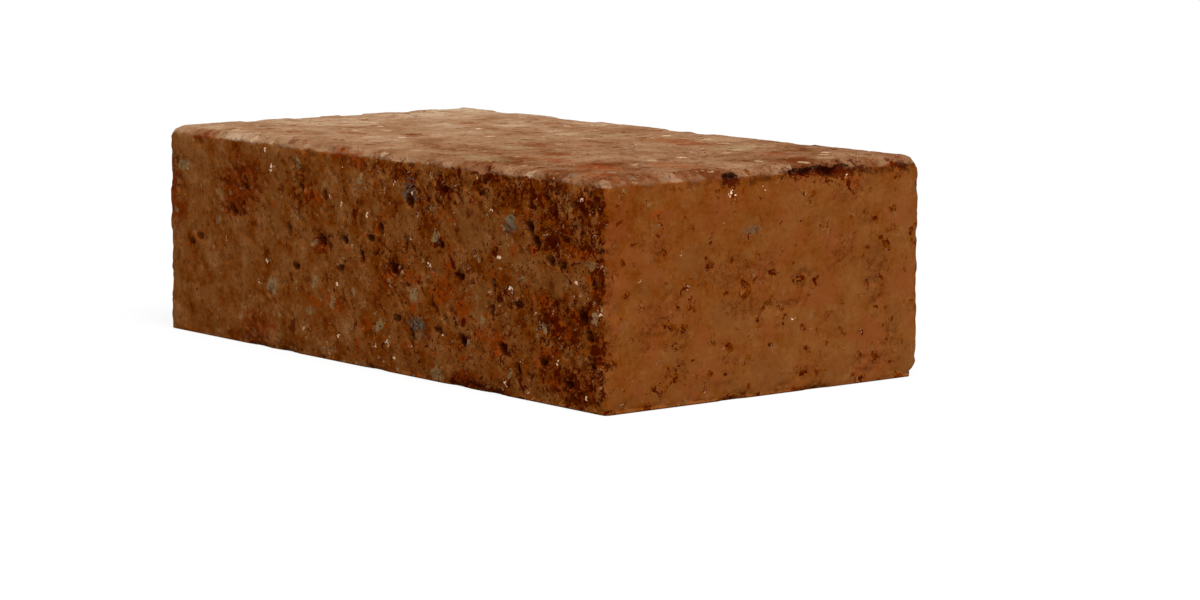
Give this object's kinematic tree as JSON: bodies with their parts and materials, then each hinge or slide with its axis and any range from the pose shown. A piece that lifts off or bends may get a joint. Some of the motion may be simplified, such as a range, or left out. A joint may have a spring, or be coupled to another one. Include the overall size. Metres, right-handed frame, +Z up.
{
  "type": "tuff block",
  "caption": "Rectangular sawn tuff masonry block, rough and pitted on its long faces, with worn and chipped arrises, laid on its large bed in walls.",
  "frame": {"origin": "centre of the lower bed", "axes": "+X along the length, +Y across the width from the pitted front face to the back, +Z up from the lower bed to the upper bed"},
  "size_m": [0.37, 0.2, 0.11],
  "materials": {
    "tuff": "sawn, pitted, dry"
  },
  "bodies": {
    "root": {"tuff_block": "tuff"}
  },
  "joints": []
}
